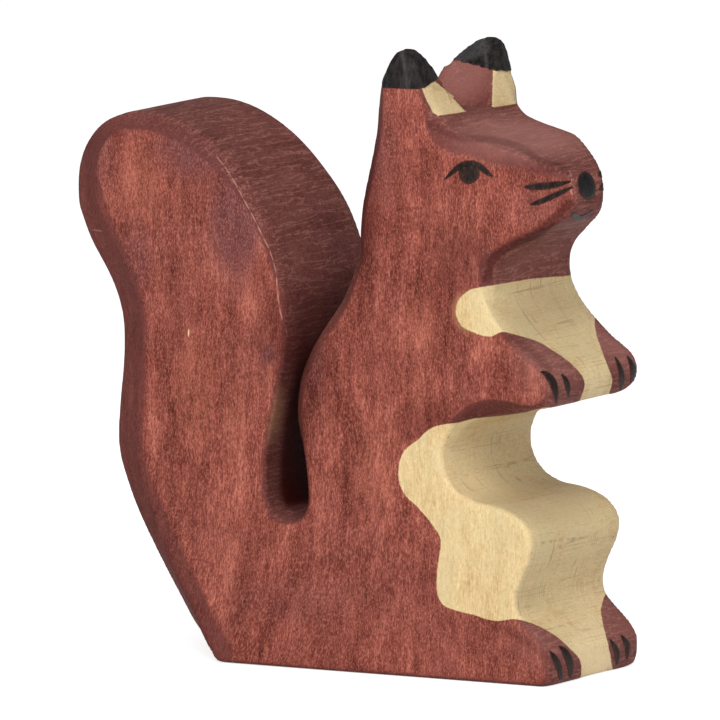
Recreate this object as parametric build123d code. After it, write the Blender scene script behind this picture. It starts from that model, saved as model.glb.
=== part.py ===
from build123d import *
import math
import os

# A sitting squirrel sawn from one plank of pale wood, carved along its edges, stained and painted.
# X points forward, where the squirrel looks, Z up, and Y across the plank. The origin lies on the
# floor, midway along the length and in the middle of the plank. Lengths are in millimetres.

# plank and overall sizes
plank_thickness = 24.0
figure_height = 79.5
tail_height = 69.6
tail_reach = 34.8
nose_reach = 33.9
paw_reach = 34.8
toe_reach = 34.7

# saw cut between the tail and the back, and how far they lean together above it
slot_width = 6.1
slot_floor_height = 18.8
slot_setback = 0.3
tail_lean = 3.0
back_lean = 2.5

# facets carved along both rims of the plank
facet_width = 4.1
facet_depth = 2.2

# cheeks that taper to the nose
nose_width = 8.6
cheek_length = 7.7
brow_length = 10.3
brow_setback = 2.0
cheek_lead = 2.0
cheek_rise = 0.4

# notch between the ears
ear_height = 8.2
ear_notch_width = 6.1
ear_slope_angle = 46.0

# stain and paint
stain_thickness = 0.15
paint_thickness = 0.12
rim_depth = 0.6
overrun = 3.0

# bare wood inside the ears
ear_patch_height = 3.7
ear_patch_margin = 0.6

# painted marks
ear_cap_height = 4.6
pupil_radius = 1.45
eyelid_thickness = 0.9
whisker_width = 0.8
nostril_width = 3.8
nostril_height = 3.5
nostril_spacing = 4.8
mouth_width = 5.8
mouth_sag = 0.6
mouth_thickness = 0.6
claw_width = 1.4

# heights of the throat and the waist, as shares of the figure's height
throat_share = 0.6415
waist_share = 0.3572

# Rows of an outline, in order up the back and down the front: how far along and how far up the
# joint lies, as shares of its region; the heading there in degrees; the handle before and after it,
# as shares of the stretches that they shape; and the share of the facet's width that is carved.
rump_shares = (
    (-0.368, 0.000, 180, 0.30, 0.45, 0.06),
    (-0.425, 0.022, 126, 0.40, 0.35, 0.12),
    (-0.528, 0.082, 122, 0.35, 0.30, 0.48),
    (-0.830, 0.402, 90, 0.25, 0.40, 1.00),
    (-0.805, 0.585, 90, 0.40, 0.45, 1.00),
    (-1.000, 0.860, 90, 0.40, 0.42, 1.00),
    (-0.730, 1.000, 0, 0.42, 0.36, 0.45),
)
nape_shares = (
    (0.189, 0.253, 90, 0.42, 0.35, 0.38),
    (0.263, 0.983, 87, 0.35, 0.45, 0.40),
)
ear_shares = (
    (0.418, 1.000, 0, 0.42, 0.34, 0.16),
    (0.496, 0.305, -66, 0.35, 0.35, 0.06),
)
face_shares = (
    (0.587, 0.913, -22, 0.35, 0.35, 0.50),
    (0.855, 0.765, -28, 0.35, 0.40, 0.55),
    (1.000, 0.520, -90, 0.45, 0.42, 0.15),
    (0.879, 0.288, -152, 0.40, 0.35, 0.45),
    (0.755, 0.000, -90, 0.40, 0.35, 0.25),
)
arm_shares = (
    (0.741, 0.867, -63, 0.35, 0.35, 0.06),
    (0.868, 0.637, -43, 0.35, 0.35, 0.06),
    (1.000, 0.425, -90, 0.40, 0.42, 0.10),
    (0.925, 0.292, 187, 0.42, 0.35, 0.12),
    (0.760, 0.254, 186, 0.35, 0.50, 0.50),
    (0.557, 0.000, -90, 0.26, 0.40, 0.06),
)
lap_shares = (
    (0.726, 0.806, -4, 0.40, 0.34, 0.04),
    (0.925, 0.640, -90, 0.38, 0.36, 0.04),
    (0.859, 0.373, -90, 0.36, 0.36, 0.04),
    (1.000, 0.106, -90, 0.40, 0.42, 0.06),
    (0.957, 0.000, 180, 0.42, 0.30, 0.04),
)

# The same for the joints of the saw cut, named one by one: how far up each bulge lies, and the
# heading, the handles and the carved share at each joint.
tail_bulge_share = 0.646
back_bulge_share = 0.193
slot_rear_rise_share = 0.85
tail_bulge_shares = (-90, 0.37, 0.30, 0.05)
slot_rear_shares = (-90, 0.35, 0.42, 0.04)
slot_floor_shares = (0, 0.42, 0.42, 0.04)
slot_front_shares = (90, 0.42, 0.35, 0.05)
back_bulge_shares = (90, 0.35, 0.42, 0.50)

# borders of the bare wood on the side of the plank, along the squirrel and up
chest_side_shares = (
    (0.720, 0.966),
    (0.667, 0.951),
    (0.632, 0.907),
    (0.609, 0.841),
    (0.624, 0.770),
    (0.693, 0.710),
    (0.741, 0.699),
    (0.799, 0.722),
)
belly_side_shares = (
    (0.692, 1.187),
    (0.588, 1.155),
    (0.455, 1.070),
    (0.378, 0.951),
    (0.380, 0.863),
    (0.455, 0.768),
    (0.524, 0.680),
    (0.550, 0.606),
    (0.536, 0.493),
    (0.533, 0.410),
    (0.556, 0.345),
    (0.622, 0.315),
    (0.746, 0.289),
    (0.862, 0.299),
)

# borders of the bare wood on the front, across half the plank and up
chest_front_shares = (
    (1.000, 0.720),
    (0.740, 0.672),
    (0.530, 0.620),
    (0.410, 0.545),
    (0.310, 0.460),
    (0.290, 0.390),
    (0.330, 0.320),
)
belly_front_shares = (
    (1.000, 0.312),
    (0.830, 0.278),
    (0.640, 0.240),
    (0.460, 0.180),
    (0.370, 0.120),
    (0.310, -0.040),
)
bare_top_share = 0.966
belly_top_share = 1.183
window_start_share = 0.42

# places of the eyes, nostrils, mouth and claws in the head's, arm's and lap's regions, and of the
# whiskers back from the nose along the cheek
pupil_shares = (0.682, 0.676)
eyelid_shares = ((0.578, 0.622), (0.619, 0.703), (0.676, 0.751), (0.736, 0.713), (0.761, 0.656))
eyelid_taper_shares = (0, 0.8, 1, 0.8, 0)
whisker_shares = (((0.649, 0.585), (0.130, 0.612)), ((0.569, 0.476), (0.150, 0.562)))
nostril_rise_share = 0.555
mouth_rise_share = 0.400
forepaw_claw_shares = (((0.88, 0.515), (0.80, 0.330)), ((0.64, 0.510), (0.60, 0.340)))
hind_claw_shares = (((0.88, 0.155), (0.72, 0.030)), ((0.62, 0.160), (0.50, 0.030)))
mark_start_share = 0.78

# a brush stroke: how far its two handles lie along it, and how far out for its width
stroke_blunt_share = 0.05
stroke_point_share = 0.60
stroke_swell_share = 0.68

# counts and formula constants
stretch_points = 6
half_share = 0.5
facet_slide_share = 0.5


def ear_place(along, up):
    return along * nose_reach, figure_height + (up - 1) * ear_height


def head_place(along, up):
    throat = figure_height * throat_share
    rise = figure_height - ear_height - throat
    return along * nose_reach, throat + up * rise


def cheek_place(back, up):
    return nose_reach - back * cheek_length, head_place(0, up)[1]


def arm_place(along, up):
    return along * paw_reach, figure_height * (waist_share + up * (throat_share - waist_share))


def lap_place(along, up):
    return along * toe_reach, figure_height * waist_share * up


def tail_place(along, up):
    return along * tail_reach, up * tail_height


def slot_rows():
    # a round floor between two walls, which lean together up to the bulges of the tail and back
    front = -slot_setback
    rear = front - slot_width
    middle = front - slot_width * half_share
    rear_height = slot_floor_height + slot_width * slot_rear_rise_share
    front_height = slot_floor_height + slot_width * half_share
    return (
        (rear + tail_lean, arm_place(0, tail_bulge_share)[1]) + tail_bulge_shares,
        (rear, rear_height) + slot_rear_shares,
        (middle, slot_floor_height) + slot_floor_shares,
        (front, front_height) + slot_front_shares,
        (front - back_lean, arm_place(0, back_bulge_share)[1]) + back_bulge_shares,
    )


def region_rows(rows, place):
    return tuple(place(row[0], row[1]) + tuple(row[2:]) for row in rows)


def outline_rows():
    # every joint of the side view, clockwise from the rear end of the foot line
    return (
        region_rows(rump_shares, tail_place)
        + slot_rows()
        + region_rows(nape_shares, head_place)
        + region_rows(ear_shares, ear_place)
        + region_rows(face_shares, head_place)
        + region_rows(arm_shares, arm_place)
        + region_rows(lap_shares, lap_place)
    )


def heading_vector(degrees):
    angle = math.radians(degrees)
    return Vector(math.cos(angle), 0, math.sin(angle))


def side_stretch(row, following):
    # one bend of the side view, between two joints
    start = Vector(row[0], 0, row[1])
    end = Vector(following[0], 0, following[1])
    span = (end - start).length
    leave = start + heading_vector(row[2]) * (span * row[4])
    arrive = end - heading_vector(following[2]) * (span * following[3])
    return Bezier(start, leave, arrive, end)


def outward(direction):
    return Vector(-direction.Z, 0, direction.X)


def ring(level, spread, carving):
    # the outline at one level across the plank, spread outwards and carved inwards
    rows = outline_rows()
    edges = []
    for row, following in zip(rows, rows[1:] + rows[:1]):
        stretch = side_stretch(row, following)
        points = []
        for step in range(stretch_points + 1):
            share = step / stretch_points
            ease = share * share * (3 - 2 * share)
            carved = (row[5] + (following[5] - row[5]) * ease) * facet_width * carving
            slide = spread * facet_slide_share * carved / facet_depth
            place = stretch @ share + outward(stretch % share) * (spread - carved - slide)
            points.append(place + Vector(0, level, 0))
        edges.append(Spline(*points, tangents=(stretch % 0, stretch % 1)))
    return Face(Wire(edges))


def cheek_plan(height, root, tip, grow):
    # plan of the wood carved off one cheek at one height
    outside = plank_thickness * half_share + cheek_rise
    inside = nose_width * half_share
    curve = Bezier(
        (root - cheek_lead, outside),
        (root + cheek_lead, plank_thickness * half_share - cheek_rise),
        (tip - cheek_lead, inside + cheek_lead),
        (tip, inside),
    )
    points = []
    for step in range(stretch_points + 1):
        share = step / stretch_points
        direction = curve % share
        points.append(curve @ share + Vector(-direction.Y, direction.X) * grow)
    far = points[-1] + (curve % 1) * overrun
    edge = Spline(*points, tangents=(curve % 0, curve % 1))
    lines = Polyline(points[-1], far, (far.X, plank_thickness), (points[0].X, plank_thickness), points[0])
    return Pos(0, 0, height) * Face(Wire([edge] + lines.edges()))


def cheek_cutter(grow):
    brow = nose_reach - brow_setback
    throat = figure_height * throat_share
    lower = cheek_plan(throat, nose_reach - cheek_length, nose_reach, grow)
    upper = cheek_plan(figure_height, brow - brow_length, brow, grow)
    return loft([lower, upper], ruled=True)


def ear_notch(grow):
    # a V with a flat floor, cut along the head
    angle = math.radians(ear_slope_angle)
    floor = figure_height - ear_height + grow
    top = figure_height + overrun
    half_floor = ear_notch_width * half_share - grow * math.tan(angle * half_share)
    half_top = half_floor + (top - floor) / math.tan(angle)
    corners = ((-half_floor, floor), (half_floor, floor), (half_top, top), (-half_top, top))
    outline = Polyline(*[(0, across, up) for across, up in corners], close=True)
    return extrude(Face(Wire(outline.edges())), amount=nose_reach, dir=(1, 0, 0))


def figure(grow):
    # the carved figure, or the same figure with a coat of the given thickness
    side = plank_thickness * half_share + grow
    rim = plank_thickness * half_share - facet_depth + grow * facet_slide_share
    levels = ((-side, 1), (-rim, 0), (rim, 0), (side, 1))
    body = loft([ring(level, grow, carving) for level, carving in levels], ruled=True)
    cheek = cheek_cutter(grow)
    body = body - cheek - cheek.mirror(Plane.XZ) - ear_notch(grow)
    if grow > 0:
        body = split(body, bisect_by=Plane.XY, keep=Keep.TOP)
    return body


def whole(shape):
    # one solid, or a compound of separate solids
    solids = shape.solids()
    return solids[0] if len(solids) == 1 else Compound(children=list(solids))


def on_side(along, up):
    return Vector(along, 0, up)


def on_front(across, up):
    return Vector(0, across, up)


def side_block(outline, side, depth):
    # an outline drawn on the side view, as a block through the coat of one side
    level = side * (plank_thickness * half_share - depth)
    return extrude(Pos(0, level, 0) * outline, amount=depth + overrun, dir=(0, side, 0))


def front_block(outline, start):
    # an outline drawn on the front view, as a block through the coat of the front
    end = max(nose_reach, paw_reach, toe_reach) + overrun
    return extrude(Pos(start, 0, 0) * outline, amount=end - start, dir=(1, 0, 0))


def side_window(points):
    # a border round bare wood on the side view, closed in front of the figure
    border = Spline(*[on_side(*point) for point in points])
    first = border @ 0
    last = border @ 1
    front = max(paw_reach, toe_reach) + overrun
    lines = Polyline(last, on_side(front, last.Z), on_side(front, first.Z), first)
    return Face(Wire([border] + lines.edges()))


def front_window(points, top):
    # a border round bare wood on the front view, the same on both halves, closed along its top
    right = Spline(*[on_front(-across, up) for across, up in points])
    left = Spline(*[on_front(across, up) for across, up in points])
    crown = Polyline(right @ 0, on_front((right @ 0).Y, top), on_front((left @ 0).Y, top), left @ 0)
    return Face(Wire([right, left, Line(right @ 1, left @ 1)] + crown.edges()))


def ear_window(side):
    # bare wood on the front of one ear, between the notch and the side of the plank
    angle = math.radians(ear_slope_angle)
    floor = figure_height - ear_height
    inner = ear_notch_width * half_share
    slope = ear_patch_height / math.tan(angle)
    outer = plank_thickness * half_share - ear_patch_margin
    corners = ((inner, 0), (outer, 0), (outer, ear_patch_height), (inner + slope, ear_patch_height))
    outline = Polyline(*[on_front(side * across, floor + up) for across, up in corners], close=True)
    return front_block(Face(Wire(outline.edges())), nose_reach * window_start_share)


def bare_windows():
    # the places that the stain leaves out: chest, belly and the inside of both ears
    chest_side = side_window([arm_place(*share) for share in chest_side_shares])
    belly_side = side_window([lap_place(*share) for share in belly_side_shares])
    half_width = plank_thickness * half_share - rim_depth * half_share
    chest_points = [(share[0] * half_width, arm_place(*share)[1]) for share in chest_front_shares]
    belly_points = [(share[0] * half_width, lap_place(*share)[1]) for share in belly_front_shares]
    chest_front = front_window(chest_points, arm_place(0, bare_top_share)[1])
    belly_front = front_window(belly_points, lap_place(0, belly_top_share)[1])
    start = nose_reach * window_start_share
    blocks = [front_block(chest_front, start), front_block(belly_front, start)]
    for side in (-1, 1):
        blocks.append(side_block(chest_side, side, rim_depth))
        blocks.append(side_block(belly_side, side, rim_depth))
        blocks.append(ear_window(side))
    return blocks


def stroke(start, end, width, place):
    # a brush stroke, blunt where it starts and pointed where it ends
    start = Vector(*start)
    along = Vector(*end) - start
    across = Vector(-along.Y, along.X).normalized() * (width * stroke_swell_share)
    edges = []
    for side in (-1, 1):
        swell = start + along * stroke_blunt_share + across * side
        taper = start + along * stroke_point_share + across * side
        corners = (start, swell, taper, start + along)
        edges.append(Bezier(*[place(corner.X, corner.Y) for corner in corners]))
    return Face(Wire(edges))


def eye(side):
    # a round pupil under a curved lid line
    centre = head_place(*pupil_shares)
    pupil = Pos(centre[0], 0, centre[1]) * Rot(90, 0, 0) * Circle(pupil_radius)
    lid_places = [head_place(*share) for share in eyelid_shares]
    drops = [eyelid_thickness * share for share in eyelid_taper_shares]
    upper = Spline(*[on_side(*point) for point in lid_places])
    lower = Spline(*[on_side(point[0], point[1] - drop) for point, drop in zip(lid_places, drops)])
    lid = Face(Wire([upper, lower]))
    return side_block(pupil, side, facet_depth) + side_block(lid, side, facet_depth)


def whiskers(side):
    depth = (plank_thickness - nose_width * half_share) * half_share
    blocks = []
    for start, end in whisker_shares:
        face = stroke(cheek_place(*start), cheek_place(*end), whisker_width, on_side)
        blocks.append(side_block(face, side, depth))
    return blocks


def nostril(side):
    across = side * nostril_spacing * half_share
    oval = Ellipse(nostril_width * half_share, nostril_height * half_share)
    rise = head_place(0, nostril_rise_share)[1]
    outline = Pos(0, across, rise) * Rot(0, 90, 0) * Rot(0, 0, 90) * oval
    return front_block(outline, nose_reach * mark_start_share)


def mouth():
    # a shallow smile with pointed ends
    height = head_place(0, mouth_rise_share)[1]
    half = mouth_width * half_share
    left = on_front(half, height)
    right = on_front(-half, height)
    upper = ThreePointArc(right, on_front(0, height - mouth_sag), left)
    lower = ThreePointArc(left, on_front(0, height - mouth_sag - mouth_thickness), right)
    return front_block(Face(Wire([upper, lower])), nose_reach * mark_start_share)


def claws(side, shares, place):
    # two strokes on the front of one paw
    half_width = side * plank_thickness * half_share
    depth = place(mark_start_share, 0)[0]
    blocks = []
    for ends in shares:
        start, end = [(across * half_width, place(0, up)[1]) for across, up in ends]
        blocks.append(front_block(stroke(start, end, claw_width, on_front), depth))
    return blocks


def ear_cap(side):
    corner = (0, 0, figure_height - ear_cap_height)
    block = Pos(*corner) * Box(
        nose_reach,
        plank_thickness,
        ear_cap_height + overrun,
        align=(Align.MIN, Align.MIN, Align.MIN),
    )
    return block if side > 0 else block.mirror(Plane.XZ)


def marks():
    # each painted mark's node, with the blocks that bound it on the coat
    found = {"mouth_paint": [mouth()]}
    for name, side in (("right", -1), ("left", 1)):
        found["ear_tip_paint_" + name] = [ear_cap(side)]
        found["eye_paint_" + name] = [eye(side)]
        found["whisker_paint_" + name] = whiskers(side)
        found["nostril_paint_" + name] = [nostril(side)]
        found["forepaw_claw_paint_" + name] = claws(side, forepaw_claw_shares, arm_place)
        found["hind_paw_claw_paint_" + name] = claws(side, hind_claw_shares, lap_place)
    return found


def main():
    os.makedirs("parts", exist_ok=True)
    wood = figure(0)
    stained = figure(stain_thickness)
    painted = figure(stain_thickness + paint_thickness)
    coat = stained - wood
    for block in bare_windows():
        coat = coat - block
    film = painted - stained
    nodes = {"wooden_figure": wood, "brown_stain_coat": coat}
    for name, blocks in marks().items():
        pieces = [film & block for block in blocks]
        nodes[name] = Compound(children=[solid for piece in pieces for solid in piece.solids()])
    for name, shape in nodes.items():
        solids = shape.solids()
        volume = sum(solid.volume for solid in solids)
        print(name, len(solids), "solids", round(volume, 3), "mm3", shape.is_valid)
        export_step(whole(shape), f"parts/{name}.step")


main()
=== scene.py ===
import math

import bpy
import numpy as np
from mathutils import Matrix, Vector, noise
from mathutils.bvhtree import BVHTree


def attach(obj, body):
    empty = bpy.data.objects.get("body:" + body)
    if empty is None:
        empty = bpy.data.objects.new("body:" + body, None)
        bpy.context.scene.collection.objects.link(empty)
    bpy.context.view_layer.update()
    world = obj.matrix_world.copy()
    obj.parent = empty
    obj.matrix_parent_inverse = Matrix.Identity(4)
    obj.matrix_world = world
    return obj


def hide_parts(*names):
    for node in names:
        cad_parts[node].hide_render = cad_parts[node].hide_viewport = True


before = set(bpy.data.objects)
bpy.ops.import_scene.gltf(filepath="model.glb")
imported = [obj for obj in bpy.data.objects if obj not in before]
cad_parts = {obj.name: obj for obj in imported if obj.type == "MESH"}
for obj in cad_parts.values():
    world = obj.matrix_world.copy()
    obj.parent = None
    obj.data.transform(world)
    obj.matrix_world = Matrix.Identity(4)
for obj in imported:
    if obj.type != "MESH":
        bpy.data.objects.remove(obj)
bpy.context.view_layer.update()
scene = bpy.context.scene
mm = 0.001

# the photograph's camera: pixels are those of its 720 by 720 frame
photoView = {
    "azimuth": 28.9,
    "elevation": 7.0,
    "distance": 2500 * mm,
    "focalPixels": 19675,
    "imagePixels": 720,
    "sensor": 36,
    "aim": (0.8 * mm, 0, 38.37 * mm),
}
pixelSize = photoView["distance"] / photoView["focalPixels"]


def towards(azimuth, elevation):
    # the direction from the object to a camera or lamp at these angles, in degrees
    around, up = math.radians(azimuth), math.radians(elevation)
    return Vector((math.sin(around) * math.cos(up), -math.cos(around) * math.cos(up), math.sin(up)))


def viewAxes():
    azimuth = math.radians(photoView["azimuth"])
    back = towards(photoView["azimuth"], photoView["elevation"])
    right = Vector((math.cos(azimuth), math.sin(azimuth), 0))
    return right, back.cross(right), back


viewRight, viewUp, viewBack = viewAxes()
cameraPlace = Vector(photoView["aim"]) + viewBack * photoView["distance"]


def placeAimed(data, place, direction):
    aimed = bpy.data.objects.new(data.name, data)
    scene.collection.objects.link(aimed)
    aimed.location = place
    aimed.rotation_mode = "QUATERNION"
    aimed.rotation_quaternion = direction.to_track_quat("-Z", "Y")
    return aimed


def placeCamera():
    data = bpy.data.cameras.new("photo_camera")
    data.sensor_width = photoView["sensor"]
    data.lens = photoView["focalPixels"] / photoView["imagePixels"] * photoView["sensor"]
    scene.camera = placeAimed(data, cameraPlace, -viewBack)


def pixelsOf(points):
    # where points of the object fall in the photograph
    reach = points - np.array(cameraPlace)
    depth = -reach @ np.array(viewBack)
    across = reach @ np.array(viewRight) / depth * photoView["focalPixels"]
    rise = reach @ np.array(viewUp) / depth * photoView["focalPixels"]
    centre = photoView["imagePixels"] / 2
    return np.stack([centre + across, centre - rise], 1)


def rayThrough(across, down):
    centre = photoView["imagePixels"] / 2
    slide = viewRight * ((across - centre) / photoView["focalPixels"])
    lift = viewUp * ((centre - down) / photoView["focalPixels"])
    return (slide + lift - viewBack).normalized()


def smoothLine(points, steps, closed=False):
    # a smooth line through given points
    picked = [np.array(point, float) for point in points]
    count = len(picked)
    line = []
    for index in range(count if closed else count - 1):
        if closed:
            four = [picked[(index + shift) % count] for shift in (-1, 0, 1, 2)]
        else:
            four = [picked[min(max(index + shift, 0), count - 1)] for shift in (-1, 0, 1, 2)]
        for step in range(steps):
            share = step / steps
            line.append(0.5 * (
                2 * four[1]
                + (four[2] - four[0]) * share
                + (2 * four[0] - 5 * four[1] + 4 * four[2] - four[3]) * share ** 2
                + (3 * four[1] - four[0] - 3 * four[2] + four[3]) * share ** 3
            ))
    if not closed:
        line.append(picked[-1])
    return np.array(line)


borderReach = 24  # pixels around a border in which its distance is worked out


def insideBorder(points, border):
    # signed distance to a closed border in pixels, positive inside
    result = np.full(len(points), -float(borderReach))
    near = ((points > border.min(0) - borderReach) & (points < border.max(0) + borderReach)).all(1)
    spots = points[near]
    stretch = np.roll(border, -1, 0) - border
    crosses = (border[:, 1] > spots[:, None, 1]) != (np.roll(border, -1, 0)[:, 1] > spots[:, None, 1])
    rise = np.where(np.abs(stretch[:, 1]) < 1e-9, 1e-9, stretch[:, 1])
    crossing = border[:, 0] + (spots[:, None, 1] - border[:, 1]) / rise * stretch[:, 0]
    inside = (crosses & (spots[:, None, 0] < crossing)).sum(1) % 2 == 1
    distance = distanceToLine(spots, border, stretch)
    result[near] = np.where(inside, distance, -distance)
    return result


def distanceToLine(spots, start, stretch):
    # from each spot to the nearest of the straight pieces that begin at start
    offset = spots[:, None, :] - start[None]
    along = np.clip((offset * stretch).sum(2) / (stretch ** 2).sum(1), 0, 1)
    return np.linalg.norm(offset - along[..., None] * stretch, axis=2).min(1)


def smoothStep(values, low, high):
    share = np.clip((values - low) / (high - low), 0, 1)
    return share * share * (3 - 2 * share)


# modelling helpers
def onlySelect(piece):
    bpy.ops.object.select_all(action="DESELECT")
    piece.select_set(True)
    bpy.context.view_layer.objects.active = piece


def meshCopy(source, name):
    piece = bpy.data.objects.new(name, source.data.copy())
    scene.collection.objects.link(piece)
    onlySelect(piece)
    return piece


def applyModifier(piece, kind, **settings):
    modifier = piece.modifiers.new(kind.lower(), kind)
    for name, value in settings.items():
        setattr(modifier, name, value)
    onlySelect(piece)
    bpy.ops.object.modifier_apply(modifier=modifier.name)


def addPrimitive(operator, name, **settings):
    bpy.ops.object.select_all(action="DESELECT")
    operator(**settings)
    piece = bpy.context.active_object
    piece.name = name
    return piece


def editAll(operator, **settings):
    # one edit mode operator on the whole of the active piece
    bpy.ops.object.mode_set(mode="EDIT")
    bpy.ops.mesh.select_all(action="SELECT")
    operator(**settings)
    bpy.ops.object.mode_set(mode="OBJECT")


def useMaterial(piece, material):
    piece.data.materials.clear()
    piece.data.materials.append(material)


def readVectors(piece, name):
    found = np.empty(len(piece.data.vertices) * 3)
    piece.data.vertices.foreach_get(name, found)
    return found.reshape(-1, 3)


def places(piece):
    return readVectors(piece, "co")


def normals(piece):
    return readVectors(piece, "normal")


def edgeEnds(piece):
    found = np.empty(len(piece.data.edges) * 2, np.int64)
    piece.data.edges.foreach_get("vertices", found)
    return found.reshape(-1, 2)


def movePlaces(piece, found):
    piece.data.vertices.foreach_set("co", np.asarray(found, float).ravel())
    piece.data.update()


def removePlaces(piece, unwanted):
    # deletes the marked places with their faces
    if not any(unwanted):
        return
    onlySelect(piece)
    bpy.ops.object.mode_set(mode="EDIT")
    bpy.ops.mesh.select_mode(type="VERT")
    bpy.ops.mesh.select_all(action="DESELECT")
    bpy.ops.object.mode_set(mode="OBJECT")
    piece.data.vertices.foreach_set("select", list(unwanted))
    bpy.ops.object.mode_set(mode="EDIT")
    bpy.ops.mesh.delete(type="VERT")
    bpy.ops.object.mode_set(mode="OBJECT")


def writeValues(piece, name, values):
    attribute = piece.data.attributes.get(name) or piece.data.attributes.new(name, "FLOAT", "POINT")
    attribute.data.foreach_set("value", np.asarray(values, np.float32))


def readValues(piece, name):
    found = np.empty(len(piece.data.vertices), np.float32)
    piece.data.attributes[name].data.foreach_get("value", found)
    return found


def linear(red, green, blue):
    # a screen colour as the shader takes it
    parts = [part / 255 for part in (red, green, blue)]
    return tuple(part / 12.92 if part < 0.043 else ((part + 0.055) / 1.055) ** 2.4 for part in parts) + (1,)


# shader helpers
def addNode(tree, kind, inputs=None, **settings):
    node = tree.nodes.new(kind)
    for name, value in settings.items():
        setattr(node, name, value)
    for key, value in (inputs or {}).items():
        if isinstance(value, bpy.types.NodeSocket):
            tree.links.new(value, node.inputs[key])
        else:
            node.inputs[key].default_value = value
    return node


def stretchedNoise(tree, place, scale, detail=3, roughness=0.55, distortion=0):
    mapping = addNode(tree, "ShaderNodeMapping", {"Vector": place, "Scale": scale})
    texture = addNode(tree, "ShaderNodeTexNoise", {
        "Vector": mapping.outputs[0], "Scale": 1, "Detail": detail,
        "Roughness": roughness, "Distortion": distortion,
    })
    return texture.outputs[0]


def rampValue(tree, value, low, high, start=0, end=1):
    return addNode(tree, "ShaderNodeMapRange", {
        "Value": value, "From Min": low, "From Max": high, "To Min": start, "To Max": end,
    }, interpolation_type="SMOOTHSTEP").outputs[0]


def mathNode(tree, operation, first, second, clamp=False):
    node = addNode(tree, "ShaderNodeMath", {0: first, 1: second}, operation=operation, use_clamp=clamp)
    return node.outputs[0]


def multiply(tree, first, second):
    return mathNode(tree, "MULTIPLY", first, second)


def ridgeValue(tree, value, width):
    # 1 along the lines where a pattern crosses its middle, 0 beside them
    away = addNode(tree, "ShaderNodeMath", {0: mathNode(tree, "SUBTRACT", value, 0.5)}, operation="ABSOLUTE")
    return rampValue(tree, away.outputs[0], width, 0)


def vectorNode(tree, operation, inputs):
    return addNode(tree, "ShaderNodeVectorMath", inputs, operation=operation)


def dotNode(tree, first, second):
    return vectorNode(tree, "DOT_PRODUCT", {0: first, 1: second}).outputs["Value"]


def mixColours(tree, share, first, second):
    return addNode(tree, "ShaderNodeMix", {0: share, 6: first, 7: second}, data_type="RGBA").outputs[2]


def mixValues(tree, share, first, second):
    return addNode(tree, "ShaderNodeMix", {0: share, 2: first, 3: second}, data_type="FLOAT").outputs[0]


def colourRamp(tree, value, stops):
    ramp = addNode(tree, "ShaderNodeValToRGB", {0: value})
    elements = ramp.color_ramp.elements
    while len(elements) < len(stops):
        elements.new(0.5)
    for element, (place, colour) in zip(elements, stops):
        element.position = place
        element.color = linear(*colour)
    return ramp.outputs[0]


def newGroup(name, inputs, outputs):
    group = bpy.data.node_groups.new(name, "ShaderNodeTree")
    for label, kind in inputs.items():
        group.interface.new_socket(label, in_out="INPUT", socket_type=kind)
    for label in outputs:
        group.interface.new_socket(label, in_out="OUTPUT", socket_type="NodeSocketFloat")
    return group, group.nodes.new("NodeGroupInput").outputs, group.nodes.new("NodeGroupOutput").inputs


grainPatterns = {  # repeats in a metre along X, Y and Z, then detail, roughness and distortion
    "fineStreak": ((2700, 2700, 420), 4, 0.65, 0.2),
    "hairStreak": ((6200, 6200, 1500), 2, 0.6),
    "longStreak": ((700, 700, 80), 3, 0.6, 0.3),
    "speck": ((6600, 6600, 2800), 1, 0.5),
    "crossLine": ((1450, 120, 1450), 2, 0.5, 0.35),
    "crossBand": ((500, 60, 500), 2, 0.5, 0.3),
    "grit": ((2600, 2600, 2600), 2, 0.5),
    "crossHair": ((4200, 900, 4200), 3, 0.6),
    "blotch": ((150, 150, 70), 3, 0.6, 0.5),
    "mottle": ((400, 400, 190), 3, 0.6, 0.4),
    "pore": ((4200, 4200, 700), 2, 0.5),
}
grainMix = {  # how much of one pattern goes into the others
    "hair": 0.58,
    "long": 0.26,
    "grit": 0.3,
    "band": 0.3,
    "mottle": 0.5,
    "poreRamp": (0.56, 0.7),
    "frontPores": 0.3,
    "lineWidth": 0.055,
    "lineBreaks": (0.34, 0.52),
    "poreDepth": 0.35,
}


def buildGrainGroup():
    # the plank's grain: it runs up the sides and across the sawn faces
    group, given, found = newGroup(
        "plank_grain",
        {"Place": "NodeSocketVector", "Narrow": "NodeSocketFloat"},
        ("Streak", "Blotch", "Pore", "Line", "Speck", "Height"),
    )
    place, narrow = given["Place"], given["Narrow"]
    pattern = {name: stretchedNoise(group, place, *facts) for name, facts in grainPatterns.items()}
    side = mixValues(group, grainMix["hair"], pattern["fineStreak"], pattern["hairStreak"])
    side = mixValues(group, grainMix["long"], side, pattern["longStreak"])
    across = mixValues(group, grainMix["grit"], pattern["crossHair"], pattern["grit"])
    across = mixValues(group, grainMix["band"], across, pattern["crossBand"])
    streak = mixValues(group, narrow, side, across)
    pore = rampValue(group, pattern["pore"], *grainMix["poreRamp"])
    pore = multiply(group, pore, mixValues(group, narrow, 1.0, grainMix["frontPores"]))
    line = ridgeValue(group, pattern["crossLine"], grainMix["lineWidth"])
    line = multiply(group, line, rampValue(group, pattern["grit"], *grainMix["lineBreaks"]))
    results = {
        "Streak": streak,
        "Blotch": mixValues(group, grainMix["mottle"], pattern["blotch"], pattern["mottle"]),
        "Pore": pore,
        "Line": multiply(group, line, narrow),
        "Speck": pattern["speck"],
        "Height": mathNode(group, "SUBTRACT", streak, multiply(group, pore, grainMix["poreDepth"])),
    }
    for label, value in results.items():
        group.links.new(value, found[label])
    return group


brushedBorder = {
    "coarse": ((900, 900, 700), 3, 0.6),
    "fine": ((3600, 3600, 2000), 2, 0.5),
    "fineShare": 0.4,
}


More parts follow.
